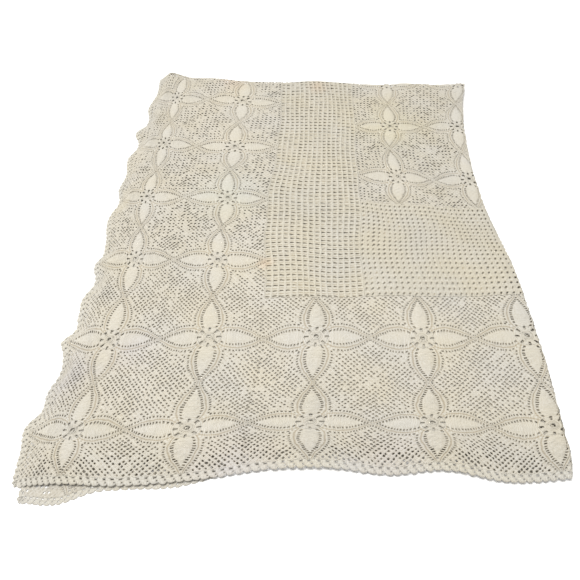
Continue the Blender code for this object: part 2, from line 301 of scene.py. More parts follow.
def lie(across, along):
    """Plan position of a place on the top layer: through the laid lines, plus the bows."""
    x, y = [curve_through(stations, np.array([curve_through(LAID[:, 0], line, along)
                                              for line in lines.T]), across)
            for stations, lines in ((LAID_ACROSS, LAID[:, 1:7]), (LAID_Y_ACROSS, LAID[:, 7:]))]
    kept = np.clip(across, 0.0, SIDE_FOLD)
    y += looked_up(NEAR_BOW, kept) * ease(1 - along / BOW_REACH)
    y += looked_up(FAR_BOW, kept) * ease(1 - (FAR_FOLD - along) / BOW_REACH)
    x += looked_up(HEM_BOW, along) * np.exp(-np.square((across + EDGING) / HEM_BOW_REACH))
    return x, y


def stack_height(across, along):
    """Height of the top of the stack: its level, puffed at the folds, with rises, less at the hems."""
    to_fold = np.minimum(SIDE_FOLD - across, FAR_FOLD - along)
    height = LEVEL_HEIGHT + (FOLD_HEIGHT - LEVEL_HEIGHT) * ease(1 - to_fold / FOLD_REACH)
    for middle_x, middle_y, rise, reach_x, reach_y in RISES:
        bump = np.square((across - middle_x) / reach_x) + np.square((along - middle_y) / reach_y)
        height = height + rise * np.exp(-bump)
    side_drop = (1 - SIDE_HEM_HEIGHT / LEVEL_HEIGHT) * (1 - ease((across + EDGING) / HEM_REACH))
    near_drop = (1 - NEAR_HEM_HEIGHT / LEVEL_HEIGHT) * (1 - ease((along + EDGING) / HEM_REACH))
    return np.maximum(height * (1 - side_drop) * (1 - near_drop), SIDE_HEM_HEIGHT)


def folded(across, along):
    """Place of the cloth's middle surface: two half turns, as angles from 0 (up) to pi (under)."""
    side_turn = np.clip((across - SIDE_FOLD_START) / SIDE_RADIUS, 0.0, np.pi)
    far_turn = np.clip((along - FAR_FOLD_START) / FAR_RADIUS, 0.0, np.pi)
    side_up, far_up = np.cos(side_turn), np.cos(far_turn)
    radius = FAR_RADIUS * (1 + side_up / 2)
    level = (far_up * (1 + side_up / 2) + 1.5) / 3
    across = np.minimum(across, SIDE_FOLD_START) - np.maximum(
        across - SIDE_FOLD_START - np.pi * SIDE_RADIUS, 0.0) + SIDE_RADIUS * np.sin(side_turn)
    along = np.minimum(along, FAR_FOLD_START) - np.maximum(
        along - FAR_FOLD_START - np.pi * FAR_RADIUS, 0.0) + radius * np.sin(far_turn)
    shares = np.array([(1 + side_up) * (1 + far_up), (1 - side_up) * (1 + far_up),
                       (1 - side_up) * (1 - far_up), (1 + side_up) * (1 - far_up)]) / 4
    side_pull = np.tensordot(SIDE_PULL, shares, 1)
    near_pull = np.tensordot(NEAR_PULL, shares, 1)
    near_pull += shares[3] * looked_up(BOTTOM_NEAR, np.clip(across, 0.0, SIDE_FOLD))
    across = across + side_pull * ease(1 - across / PULL_REACH)
    along = along + near_pull * ease(1 - along / PULL_REACH)
    x, y = lie(across, along)
    z = THICKNESS / 2 + level * (stack_height(across, along) - THICKNESS)
    return np.stack([x - PLAN_MIDDLE[0], y - PLAN_MIDDLE[1], z], axis=-1)


def sway(across, along, seed, longest):
    """Sum of long sine waves at each place, the same on every run, mostly from -1 to 1."""
    made = np.random.default_rng(seed)
    turn = made.uniform(0, 2 * np.pi, DRIFT_WAVES)
    pitch = longest * made.uniform(0.45, 1.0, DRIFT_WAVES)
    phases = made.uniform(0, 1, DRIFT_WAVES)
    total = np.zeros_like(across)
    for wave_x, wave_y, phase in zip(np.cos(turn) / pitch, np.sin(turn) / pitch, phases):
        total += np.sin(2 * np.pi * (across * wave_x + along * wave_y + phase))
    return total / np.sqrt(DRIFT_WAVES)


def drift(across, along):
    """The flat pattern as the hand worked it: long slow shifts and short small ones."""
    inside = ease(np.minimum(across, along) / STEADY)
    shift_x, shift_y = [DRIFT * sway(across, along, seed, DRIFT_LONGEST) * inside
                        + SHAKE * sway(across, along, seed + 1, SHAKE_LONGEST) for seed in (3, 5)]
    return across + shift_x, along + shift_y


def crinkle(across, along):
    """Three numbers from -1 to 1 for each place, from the fractions of steep sines."""
    across, along = np.round(across / TENTH + OFF_GRID), np.round(along / TENTH + OFF_GRID)
    steep = [np.sin(across * turn_x + along * turn_y) * STEEP for turn_x, turn_y in TURNS]
    return [2 * (value - np.floor(value)) - 1 for value in steep]


def nestled(across, along):
    """How far the layer under the top one rises to meet it."""
    second = ease((across - SIDE_FOLD) / NESTLE_REACH) * ease((FAR_FOLD - along) / NESTLE_REACH)
    share = NESTLE * (1 - NESTLE_LOST * ease((along - COARSE_FROM) / COARSE_OVER))
    return share * second * (stack_height(2 * SIDE_FOLD - across, along) - THICKNESS) / 3


def on_the_stack(across, along, lift):
    """Place in the stack, lifted along the cloth's normal, less where that faces down."""
    shake_x, shake_y, shake_z = crinkle(across, along)
    across, along = drift(across, along)
    across, along = across + CRINKLE * shake_x, along + CRINKLE * shake_y
    lift = lift + CRINKLE_LIFT * shake_z
    step = 2e-4
    rightward = folded(across + step, along) - folded(across - step, along)
    away = folded(across, along + step) - folded(across, along - step)
    normal = np.cross(rightward, away)
    normal /= np.linalg.norm(normal, axis=-1, keepdims=True)
    pressed = PRESSED + (1 - PRESSED) * ease(normal[..., 2] + 1)
    places = folded(across, along) + normal * (lift * pressed)[..., None]
    places[..., 2] += nestled(across, along)
    places[..., 2] = np.maximum(places[..., 2], FLOOR_GAP)
    return places


# Flat work

class Work:
    """Flat crochet: arrays of places (across, along), lift, stitch map and four-cornered faces."""

    def __init__(self, across, along, lift, stitch, faces):
        self.across, self.along, self.lift = across.ravel(), along.ravel(), lift.ravel()
        self.stitch, self.faces = stitch.reshape(-1, 2), faces

    def within(self, left, right, near, far):
        """Only the faces with their middles between four lines."""
        x, y = self.across[self.faces].mean(axis=1), self.along[self.faces].mean(axis=1)
        keep = (x > left) & (x < right) & (y > near) & (y < far)
        return Work(self.across, self.along, self.lift, self.stitch, self.faces[keep])


def joined(parts):
    """Several works as one."""
    counts = np.cumsum([0] + [len(part.across) for part in parts[:-1]])
    rows = [(part.across, part.along, part.lift, part.stitch, part.faces + count)
            for part, count in zip(parts, counts)]
    return Work(*[np.concatenate(column) for column in zip(*rows)])


def grid_faces(open_cells):
    """Faces of a grid of places, each cell's four corners in turn, without the open cells."""
    columns, rows = open_cells.shape
    number = np.arange((columns + 1) * (rows + 1)).reshape(columns + 1, rows + 1)
    corners = np.stack([number[:-1, :-1], number[1:, :-1], number[1:, 1:], number[:-1, 1:]], -1)
    return corners[~open_cells]


def whole_cells(marked):
    """Cells of a grid that have all four of their places marked."""
    return marked[:-1, :-1] & marked[1:, 1:] & marked[1:, :-1] & marked[:-1, 1:]


def welded(work):
    """Triangles of the work, right side up. Places in the same hundredth of a millimetre are made
    one, with the higher of their lifts, and triangles of no width are dropped."""
    key = np.floor(np.stack([work.across, work.along], 1) / (TENTH / 10) + OFF_GRID).astype(np.int64)
    _, first, found = np.unique(key, axis=0, return_index=True, return_inverse=True)
    found = found.ravel()
    lift = np.full(len(first), -1.0)
    np.maximum.at(lift, found, work.lift)
    raw = np.concatenate([work.faces[:, [0, 1, 2]], work.faces[:, [0, 2, 3]]])
    corner_x, corner_y = work.across[raw], work.along[raw]
    turn = ((corner_x[:, 1] - corner_x[:, 0]) * (corner_y[:, 2] - corner_y[:, 0])
            - (corner_x[:, 2] - corner_x[:, 0]) * (corner_y[:, 1] - corner_y[:, 0]))
    raw = np.where(turn[:, None] < 0, raw[:, ::-1], raw)
    made = found[raw]
    sound = (made[:, 0] != made[:, 1]) & (made[:, 1] != made[:, 2]) & (made[:, 2] != made[:, 0])
    raw, made = raw[sound], made[sound]
    used, made = np.unique(made, return_inverse=True)
    first = first[used]
    return work.across[first], work.along[first], lift[used], made.reshape(-1, 3), work.stitch[raw]


MAP_SIZE = 2.5  # metres of flat cloth in the unit square of the cloth map
MAP_START = 0.01  # where the cloth's corner is in it


def cloth_piece(name, work, material, relief=1.0, raised=0.0):
    """Mesh of the work on the stack, with its cloth map, stitch map and the painted shade of its
    hollows.
    """
    across, along, lift, faces, stitch = welded(work)
    places = on_the_stack(across, along, lift * relief + raised)
    mesh = bpy.data.meshes.new(name)
    mesh.from_pydata(places.tolist(), [], faces.tolist())
    flat = np.stack([across, along], 1)[faces.ravel()] / MAP_SIZE + MAP_START
    mesh.uv_layers.new(name="Cloth").uv.foreach_set("vector", flat.astype(np.float32).ravel())
    worked = mesh.uv_layers.new(name="Stitch")
    worked.uv.foreach_set("vector", stitch.reshape(-1, 2).astype(np.float32).ravel())
    # painted shade: places sunk below the cloth (hole rims, grooves, shut holes, the edging's
    # turned-down edge) are marked to be darkened in the cotton
    hollow_shade = mesh.attributes.new("HollowShade", "FLOAT", "POINT")
    hollow_shade.data.foreach_set("value", np.clip(-lift / SHADE_DEPTH, -1, 1).astype(np.float32))
    mesh.materials.append(material)
    mesh.shade_smooth()
    piece = bpy.data.objects.new(name, mesh)
    scene.collection.objects.link(piece)
    return piece


# Flower squares

def strip_widths(station):
    """Widths of petal, eyelets, cord and outer eyelets: cubics through the table."""
    return np.maximum([curve_through(STRIPS[:, 0], strip, station) for strip in STRIPS.T[1:]], 0.0)


def columns_of_the_eighth(station):
    """Where each column starts on the petal's middle line, and where it ends: on the diagonal up to
    the corner's station, from there down the square's side."""
    start = FLOWER_EDGE + (0.5 - FLOWER_EDGE) * station
    fan = DIAGONAL_EDGE + (0.5 - DIAGONAL_EDGE) * np.clip(station / CORNER, 0, 1) ** FAN
    cord_end = STRIPS[-1, 3] + STRIPS[-1, 4]
    down = 0.5 + (cord_end - 0.5) * (station - CORNER) / (1 - CORNER)
    return start, fan, np.where(station > CORNER, down, fan)


def wedge(seed):
    """One eighth of a flower: petal, eyelets, cord and outer eyelets.

    Columns run out from the petal's middle line. Lines run along the petal: each strip adds its
    width to the one before, and all stop at the end of the column. An eyelet takes three columns
    of four. It is left open between two lines, and its corners move out with its size.
    """
    made = np.random.default_rng(seed)
    column = np.arange(4 * CELLS + 1)
    aside, number = column % 4 - 2, column // 4
    gap = np.abs(aside) < 2
    station = (number + IN_CELL[column % 4]) / CELLS
    petal, eyelets, cord, outer = strip_widths(station)
    start, end_x, end_y = columns_of_the_eighth(station)
    ripple = np.where(column % 2 == 0, 1.0, -1.0)
    beyond, lifts, shifts, openings = [], [], [], []

    def line(place, lift, shift=0.0):
        beyond.append(np.minimum(place, end_y))
        lifts.append(np.where(place > end_y, BAR, lift))
        shifts.append(shift + 0 * petal)

    def eyelet_lines(low, width, ready, spread, reach, grow, post, bar):
        """A row of eyelets: the bar that it starts from, then the eyelets' near and far ends."""
        low = np.minimum(low, end_y)
        height = np.minimum(low + width, end_y) - low
        sound = np.ones(number[-1] + 1, bool)
        np.logical_and.at(sound, number[gap], (ready & (height > 0.5 * width))[gap])
        hole = gap & sound[number]
        size = np.clip(1 + spread * made.standard_normal(number[-1] + 1), *EYELET_SIZES)[number] * grow
        reach = (reach + EYELET_ROUND * (aside == 0)) * np.where(hole, size, EYELET_SHUT)
        shift = np.where(hole, EYELET_GROWTH * aside * (size - 1) / CELLS, 0.0)
        rim = np.where(hole, RIM, np.where(gap, bar, post))
        line(low, np.where(gap, bar, 0.6 * post))
        openings.append((len(beyond), hole[:-1] & hole[1:]))
        for way in (-1, 1):
            line(low + height * (0.5 + way * np.minimum(reach, EYELET_REACH)), rim, shift)

    crown = looked_up(CROWN, station).clip(0)
    for share in np.sin(0.5 * np.pi * np.arange(PETAL_LINES) / (PETAL_LINES + 0.7)):
        height = CHANNEL + (CROWN_HEIGHT * crown - CHANNEL) * np.sqrt(1 - share ** 2)
        line(petal * share, height + PETAL_RIB * ripple * crown)
    eyelet_lines(petal, eyelets, eyelets > LEAST_EYELET, **EYELETS)
    offset = petal + eyelets
    for share, lift in CORD:
        line(offset + share * cord, lift + CORD_RIPPLE * ripple)
    offset = offset + cord
    eyelet_lines(offset, outer, offset + outer < end_y, **OUTER_EYELETS)
    line(offset + outer, BAR)

    beyond, lifts, shifts = np.array(beyond).T, np.array(lifts).T, np.array(shifts).T
    open_cells = np.zeros((len(column) - 1, beyond.shape[1] - 1), bool)
    for place, opening in openings:
        open_cells[:, place] = opening
    first_eyelet, tip = openings[0][0], petal < 1e-4
    open_cells[:, first_eyelet - 1] |= open_cells[:, first_eyelet] & tip[:-1] & tip[1:]

    along = station[:, None] + shifts
    start, end_x, end_y = columns_of_the_eighth(along)
    share = np.minimum(beyond / end_y, 1.0)
    out_along = start + (end_x - start) * share
    out_side = end_y * share
    stitch = np.stack([along * (0.5 - FLOWER_EDGE) * SQUARE, beyond * SQUARE], -1)
    return with_flower(out_along, out_side, lifts, stitch, open_cells)


def with_flower(out_along, out_side, lifts, stitch, open_cells):
    """The eighth with its share of the flower: rings inwards from the first column.

    A ring has a place for each line, at that line's angle, moved to meet the eyelets' edges.
    """
    turn = np.arctan2(out_side[0], out_along[0])
    near, far = np.abs(turn - EYELET_TURN).argmin(), np.abs(turn - np.pi / 4 + EYELET_TURN).argmin()
    knots = [0.0, turn[near], turn[far], np.pi / 4]
    turn = np.interp(turn, knots, [0.0, EYELET_TURN, np.pi / 4 - EYELET_TURN, np.pi / 4])[None]
    ring, ring_lift = FLOWER_RINGS[:, :1], FLOWER_RINGS[:, 1:2]
    first_turn, last_turn = EYELET_TURN + TURN_SLACK, np.pi / 4 - EYELET_TURN - TURN_SLACK
    at_eyelet = (turn < first_turn) | (turn > last_turn)
    spoke = np.where(at_eyelet, 0.0, FLOWER_RINGS[:, 2:3])
    ring_open = np.zeros((len(ring), open_cells.shape[1]), bool)
    beside = (turn[0, 1:] < first_turn) | (turn[0, :-1] > last_turn)
    ring_open[FIRST_EYELET_RING:FIRST_EYELET_RING + 2] = beside
    out_along = np.concatenate([ring * np.cos(turn), out_along])
    out_side = np.concatenate([ring * np.sin(turn), out_side])
    lifts = np.concatenate([ring_lift + spoke + 0 * turn, lifts])
    stitch = np.concatenate([np.stack([ring * SQUARE + 0 * turn, turn * 0.02 + 0 * ring], -1), stitch])
    return out_along, out_side, lifts, stitch, np.concatenate([ring_open, open_cells])


EIGHTHS = [wedge(seed) for seed in range(6)]


def flower(column, row):
    """One flower: eighths turned and mirrored round its middle, each petal as plump as it came out."""
    middle_x, middle_y = (column + 0.5) * SQUARE, (row + 0.5) * SQUARE
    made = np.random.default_rng(int(62 * column + 2 * row))
    plump = made.uniform(*PLUMP, 4)
    which = made.integers(len(EIGHTHS), size=8)
    parts = []
    for petal, (to_x, to_y) in enumerate([(1, 0), (0, 1), (-1, 0), (0, -1)]):
        for side in (1, -1):
            out_along, out_side, lift, stitch, open_cells = EIGHTHS[which[2 * petal + (side > 0)]]
            height = lift * np.where(np.arange(lift.shape[1]) < PETAL_LINES, plump[petal], 1.0)
            x = middle_x + SQUARE * (out_along * to_x - side * out_side * to_y)
            y = middle_y + SQUARE * (out_along * to_y + side * out_side * to_x)
            parts.append(Work(x, y, height, stitch, grid_faces(open_cells)))
    return joined(parts)


def repeated(pattern, count, pitch, begin):
    """Lines of a repeat: the pattern's shares of a pitch, over and over, and one to close."""
    pattern = np.asarray(pattern)
    lines = (np.arange(count)[:, None] + pattern[None, :]).ravel()
    return begin + pitch * np.append(lines, count)


def petal_outline(along):
    """How far out from a petal's middle line its outer eyelets end, at places along it, in squares.

    Where that is the diagonal it is put a little past it, so that no mesh is worked there.
    """
    station = np.linspace(0, 1, 4 * CELLS + 1)
    out = strip_widths(station).sum(axis=0)
    start, end_x, end_y = columns_of_the_eighth(station)
    met = out >= end_y
    out = np.minimum(out, end_y)
    return np.interp(along, start + (end_x - start) * out / end_y, np.where(met, end_y + 0.01, out))


def into_the_eighth(across, along, begin_y):
    """Places from their square's middle, in squares, and folded: along the nearest petal, and out."""
    from_x = np.mod(across / SQUARE, 1.0) - 0.5
    from_y = np.mod((along - begin_y) / SQUARE, 1.0) - 0.5
    return from_x, from_y, np.maximum(abs(from_x), abs(from_y)), np.minimum(abs(from_x), abs(from_y))


def mesh_holes(p_hole, q_hole, box, bound, begin_y):
    """For each hole, by its numbers on the slants: its size, whether it is shut, or in another piece,
    whether its row slopes away, and how far it is off both ways.

    Holes are larger where the mesh is open or coarse. Those next to an outline or a bound side are
    shut, and so are a few where it is tight, and most of every other one where it is coarse.
    """
    left, right, near, far = box
    middle_p, middle_q = (p_hole + 0.5) * MESH_PITCH, (q_hole + 0.5) * MESH_PITCH
    middle_x, middle_y = (middle_p + middle_q) / np.sqrt(2), (middle_p - middle_q) / np.sqrt(2)
    from_x, from_y, petalward, outward = into_the_eighth(middle_x, middle_y, begin_y)
    to_open = np.hypot(petalward - MESH_OPENS[0], outward - MESH_OPENS[1]) / MESH_REACH
    openness = np.exp(-to_open ** 2)
    number, off_p, off_q = crinkle(middle_x, middle_y)
    coarse = ease((middle_y - COARSE_FROM) / COARSE_OVER)
    size = (HOLE + HOLE_MORE * openness + HOLE_SPREAD * number) * (1 + COARSE_GROWTH * coarse)
    every_other = (p_hole + q_hole) % 2 > 0
    closed = (outward - petal_outline(petalward)) * SQUARE < CLEAR * MESH_PITCH
    closed = closed | (number < TIGHT * (1 - openness) + RARELY)
    closed = closed | (every_other & (off_p < 2 * COARSE_SHUT[0] * coarse - 1))
    closed = closed | (off_q < 2 * COARSE_SHUT[1] * coarse - 1)
    outside = np.zeros(closed.shape, bool)
    distances = (middle_x - left + HAIR, right - middle_x - HAIR,
                 middle_y - near + HAIR, far - middle_y - HAIR)
    for side, distance in zip(bound, distances):
        if side:
            closed = closed | (distance < CLEAR * MESH_PITCH)
        else:
            outside = outside | (distance < 0)
    return np.minimum(size, HOLE_MOST), closed, outside, from_x * from_y > 0, off_p, off_q


def mesh_between(box, bound, begin_y=0.0):
    """Filet mesh on the slant between the flowers, with rows along each square's own diagonals.

    Lines run at 45 degrees both ways, four to a hole. Places inside a petal's outline are moved out
    to it, and places past a bound side in to that. Cells wholly past either are left out, and so
    are those with their middle past an unbound side.
    """
    left, right, near, far = box
    root = np.sqrt(2)
    first = [int(np.floor(value / root / MESH_PITCH)) for value in (left + near, left - far)]
    last = [int(np.ceil(value / root / MESH_PITCH)) for value in (right + far, right - near)]
    counts = [last[k] - first[k] for k in (0, 1)]
    p, q = [repeated(MESH_LINES, counts[k], MESH_PITCH, first[k] * MESH_PITCH) for k in (0, 1)]
    p_number, q_number = np.meshgrid(np.arange(len(p)), np.arange(len(q)), indexing="ij")
    aside, ahead = p_number % 4 - 2, q_number % 4 - 2
    p, q = np.meshgrid(p, q, indexing="ij")
    in_hole = (np.abs(aside) < 2) & (np.abs(ahead) < 2)
    p_hole, q_hole = [first[k] + np.arange(counts[k] + 1) for k in (0, 1)]
    holes = mesh_holes(*np.meshgrid(p_hole, q_hole, indexing="ij"), box, bound, begin_y)
    size, closed, outside, sloping_away, off_p, off_q = [
        values[p_number // 4, q_number // 4] for values in holes]
    drawn = np.where((aside != 0) & (ahead != 0), *ROUNDED) * size
    long_p = np.where(sloping_away, HOLE_LONG, HOLE_NARROW)
    long_q = np.where(sloping_away, HOLE_NARROW, HOLE_LONG)
    shift_p = aside * (drawn * long_p - 1) + HOLE_OFF * off_p
    shift_q = ahead * (drawn * long_q - 1) + HOLE_OFF * off_q
    p = p + np.where(in_hole, shift_p * MESH_PITCH / 4, 0.0)
    q = q + np.where(in_hole, shift_q * MESH_PITCH / 4, 0.0)
    across, along = (p + q) / root, (p - q) / root
    from_x, from_y, petalward, outward = into_the_eighth(across, along, begin_y)
    p_line, q_line = aside == -2, ahead == -2
    row_line = np.where(sloping_away, q_line, p_line)
    lift = np.where(row_line, MESH_ROW, np.where(p_line | q_line, MESH_POST, BAR))
    lift = np.where(in_hole, np.where(closed, MESH_SHUT, RIM), lift)

    border = np.minimum(petal_outline(petalward) - LAP, petalward)
    short = outward < border
    lift = np.where(short, MESH_TUCKED, lift)
    outward = np.maximum(outward, border)
    along_x = abs(from_x) >= abs(from_y)
    across += np.where(along_x, 0.0, np.sign(from_x) * outward - from_x) * SQUARE
    along += np.where(along_x, np.sign(from_y) * outward - from_y, 0.0) * SQUARE
    left, right, near, far = [side if here else way * np.inf
                              for side, here, way in zip(box, bound, (-1, 1, -1, 1))]
    past = (across <= left) | (across >= right) | (along <= near) | (along >= far)
    across, along = np.clip(across, left, right), np.clip(along, near, far)
    faces = grid_faces(whole_cells(in_hole & ~closed) | outside[:-1, :-1])
    kept = ~(short.ravel()[faces].all(axis=1) | past.ravel()[faces].all(axis=1))
    return Work(across, along, lift, np.stack([p, q], -1), faces[kept])


def squares(columns, rows, box, bound, begin_y=0.0):
    """Flower squares side by side, cut to a box. Bound says which of its sides are worked over."""
    flowers = joined([flower(column, row) for column in columns for row in rows])
    return joined([flowers.within(*box), mesh_between(box, bound, begin_y)])


# Mesh bands

SIDE_RIBS = np.array([
    # share of a column, lift, share of the bars' lift, share of the rib's wander
    [0.00, 0.0013, 0.0, 1.0],
    [0.08, 0.0008, 0.2, 0.9],
    [0.14, -0.0003, 0.8, 0.4],
    [0.20, -0.0003, 1.0, 0.0],
    [0.50, -0.0003, 1.0, 0.0],
    [0.80, -0.0003, 1.0, 0.0],
    [0.90, 0.0003, 0.5, 0.8],
])
SIDE_BARS = np.array([
    # share of a row, lift of the bars, lift of the ribs' stitches
    [0.00, 0.0011, -0.0002],
    [0.24, 0.0000, 0.0002],
    [0.33, 0.0000, 0.0004],
    [0.42, 0.0000, 0.0002],
    [0.60, 0.0009, -0.0002],
    [0.80, -0.0005, 0.0003],
])
END_RIBS = np.array([
    # the same
    [0.00, 0.0011, 0.6, 1.0],
    [0.13, -0.0005, 0.6, 0.5],
    [0.26, 0.0010, 0.8, 0.0],
    [0.37, -0.0001, 1.0, 0.0],
    [0.52, -0.0001, 1.0, 0.0],
    [0.67, -0.0001, 1.0, 0.0],
    [0.79, 0.0009, 0.8, 0.0],
    [0.90, -0.0005, 0.6, 0.5],
])
END_BARS = np.array([
    # the same
    [0.00, 0.0010, -0.0002],
    [0.30, -0.0002, 0.0001],
    [0.47, 0.0000, 0.0003],
    [0.64, -0.0002, 0.0001],
])
BAND_SPREAD = 0.13  # of the size of the holes
BAND_SIZES = (0.6, 1.3)  # least and most
BAND_ROUNDED = (0.85, 1.0)  # reach of a hole's corners, and of its sides
BAND_SHUT = 0.8 * RIM  # lift of a hole that is shut
WANDER = 0.0007  # of the ribs
SIDE_COLUMNS, SIDE_ROWS = 16, 61  # to the far fold
END_COLUMN, END_ROWS = 0.0117, 21  # width of a column


def mesh_band(box, columns, rows, ribs, bars, taper, slant, shut, seed):
    """A band of ribs and bars, with a hole in each cell on its middle lines.

    A hole takes the fourth to sixth lines of a column, and the second to fourth of a row. Its left
    side is taller by taper, and its far side leans right by slant. Cells are shut where
    shut(across, along, a number from 0 to 1) says so. Ribs wander sideways from row to row.
    """
    left, right, near, far = box
    made = np.random.default_rng(seed)
    pitch_x, pitch_y = (right - left) / columns, (far - near) / rows
    x, y = repeated(ribs[:, 0], columns, pitch_x, left), repeated(bars[:, 0], rows, pitch_y, near)
    x_number, y_number = np.arange(len(x)), np.arange(len(y))
    x_in, y_in = x_number % len(ribs), y_number % len(bars)
    x_cell, y_cell = x_number // len(ribs), y_number // len(bars)
    size = np.clip(1 + BAND_SPREAD * made.standard_normal((columns + 1, rows + 1)), *BAND_SIZES)
    middle_x, middle_y = np.meshgrid((np.arange(columns + 1) + 0.5) * pitch_x + left,
                                     (np.arange(rows + 1) + 0.5) * pitch_y + near, indexing="ij")
    closed = shut(middle_x, middle_y, made.uniform(0, 1, size.shape))
    across, along = np.meshgrid(x, y, indexing="ij")
    size, closed = size[x_cell][:, y_cell], closed[x_cell][:, y_cell]
    aside, ahead = np.meshgrid(x_in - 4, y_in - 2, indexing="ij")
    in_hole = (np.abs(aside) < 2) & (np.abs(ahead) < 2)
    rib, bar = ribs[x_in][:, None], bars[y_in][None]
    lift = rib[..., 1] + rib[..., 2] * bar[..., 1] + rib[..., 3] * bar[..., 2]
    lift = np.where(in_hole, np.where(closed, BAND_SHUT, RIM), lift)
    half_x, half_y = (ribs[5, 0] - ribs[3, 0]) * pitch_x / 2, (bars[3, 0] - bars[1, 0]) * pitch_y / 2
    drawn = np.where((aside != 0) & (ahead != 0), *BAND_ROUNDED) * size - 1
    across += np.where(in_hole, aside * drawn * half_x + ahead * slant, 0.0)
    along += np.where(in_hole, ahead * (drawn * half_y - aside * taper), 0.0)
    wander = WANDER * made.standard_normal((columns + 2, rows + 2))
    rib_number = np.round(x_cell + ribs[x_in, 0]).astype(int)
    part = bar[..., 0]
    wander = wander[rib_number][:, y_cell] * (1 - part) + wander[rib_number][:, y_cell + 1] * part
    inside = (x_number > 0) & (x_number < len(x) - 1)
    across += wander * rib[..., 3] * inside[:, None]
    faces = grid_faces(whole_cells(in_hole & ~closed))
    return Work(across, along, lift, np.stack([along, across], -1), faces)


def side_band():
    """Ribbed band: ribs along the cloth, and in each valley a ladder of bars, tighter far off."""
    rows = SIDE_ROWS + 4  # on round the fold

    def shut(across, along, number):
        return (number < 0.02 + 0.12 * ease((along - 0.62) / 0.3)) | (along > FAR_FOLD)

    box = (BORDER, BLOCK_ACROSS, BORDER, BORDER + rows * (FAR_FOLD - BORDER) / SIDE_ROWS)
    return mesh_band(box, SIDE_COLUMNS, rows, SIDE_RIBS, SIDE_BARS, taper=0.0006, slant=0.0,
                     shut=shut, seed=11)


def end_band():
    """Filet band: a lattice of doubled strands, with one small slanting hole in each cell."""
    columns = 31
    box = (BLOCK_ACROSS, BLOCK_ACROSS + columns * END_COLUMN, BORDER, BLOCK_ALONG)
    return mesh_band(box, columns, END_ROWS, END_RIBS, END_BARS, taper=0.0, slant=0.0011,
                     shut=lambda across, along, number: number < 0.04, seed=12)


# Scalloped edging

SCALLOP = SQUARE / 15  # pitch of the scallops
SCALLOP_DEPTH = 0.004
EDGING_LINES = np.array([
    # out from the hem, share of the scallop, lift, lift of its stitches
    [-0.0012, 0.0, 0.0005, 0.0002],
    [0.0016, 0.0, 0.0004, 0.0001],
    [0.0036, 0.0, 0.0006, 0.0003],
    [0.0056, 0.0, -0.0005, 0.0001],
    [0.0074, 0.0, 0.0006, 0.0003],
    [0.0098, 0.3, -0.0002, 0.0002],
    [0.0126, 0.7, 0.0000, 0.0004],
    [0.0150, 1.0, -0.0016, 0.0000],
])
EDGING_HOLES = ((1, (2, 3, 4)), (4, (4, 5)))  # line a hole starts from, its places in a scallop


def edging():
    """Edging round the whole cloth: a strip out from the hem, its free edge in round scallops.

    Its path, with across and along as one complex number, turns a quarter circle at each corner.
    """
    steps = 6
    turn = np.linspace(0, np.pi / 2, 2 * steps + 1)[1:-1]
    corner, way, parts = 0j, 1 + 0j, []
    for length in (ACROSS, ALONG, ACROSS, ALONG):
        run = np.linspace(0, length, int(round(length / SCALLOP)) * steps + 1)
        parts.append(np.stack([corner + way * run, -1j * way + 0 * run], 1))
        corner = corner + way * length
        parts.append(np.stack([corner + 0 * turn, -1j * way * np.exp(1j * turn)], 1))
        way = way * 1j
    path = np.concatenate(parts + [parts[0][:1]])
    in_scallop = np.arange(len(path)) % steps
    lobe = np.abs(np.sin(np.pi * in_scallop / steps)) ** 0.4
    out, drawn, level, rise = EDGING_LINES.T[:, None]
    outward = out - SCALLOP_DEPTH * drawn * (1 - lobe[:, None])
    place = path[:, :1] + path[:, 1:] * outward
    thread = np.where(in_scallop % 2, 1.0, -1.0)[:, None]
    lift = level + rise * thread
    open_cells = np.zeros((len(path) - 1, len(EDGING_LINES) - 1), bool)
    for row, holes in EDGING_HOLES:
        lift[np.isin(in_scallop, holes), row:row + 2] = RIM
        open_cells[:, row] = (np.isin(in_scallop, holes) & np.isin(in_scallop + 1, holes))[:-1]
    run = np.arange(len(path))[:, None] * SCALLOP / steps
    stitch = np.stack([run + 0 * outward, outward], -1)
    return Work(place.real, place.imag, lift, stitch, grid_faces(open_cells))


# Plain sheets of the hidden layers

def lines_between(start, end, fold_start, fold_length):
    """Grid lines a centimetre apart, closer through a fold."""
    lines = np.linspace(start, end, max(2, int(round((end - start) / 0.01)) + 1))
    turn = np.linspace(fold_start, fold_start + fold_length, 9)
    turn = turn[(turn > start) & (turn < end)]
    return np.unique(np.concatenate([lines, turn]))


def sheet_of(left, right, near, far):
    """A plain rectangle of cloth."""
    x = lines_between(left, right, SIDE_FOLD_START, np.pi * SIDE_RADIUS)
    y = lines_between(near, far, FAR_FOLD_START, np.pi * FAR_RADIUS)
    across, along = np.meshgrid(x, y, indexing="ij")
    faces = grid_faces(np.zeros((len(x) - 1, len(y) - 1), bool))
    return Work(across, along, 0 * across, np.stack([along, across], -1), faces)


# Cotton

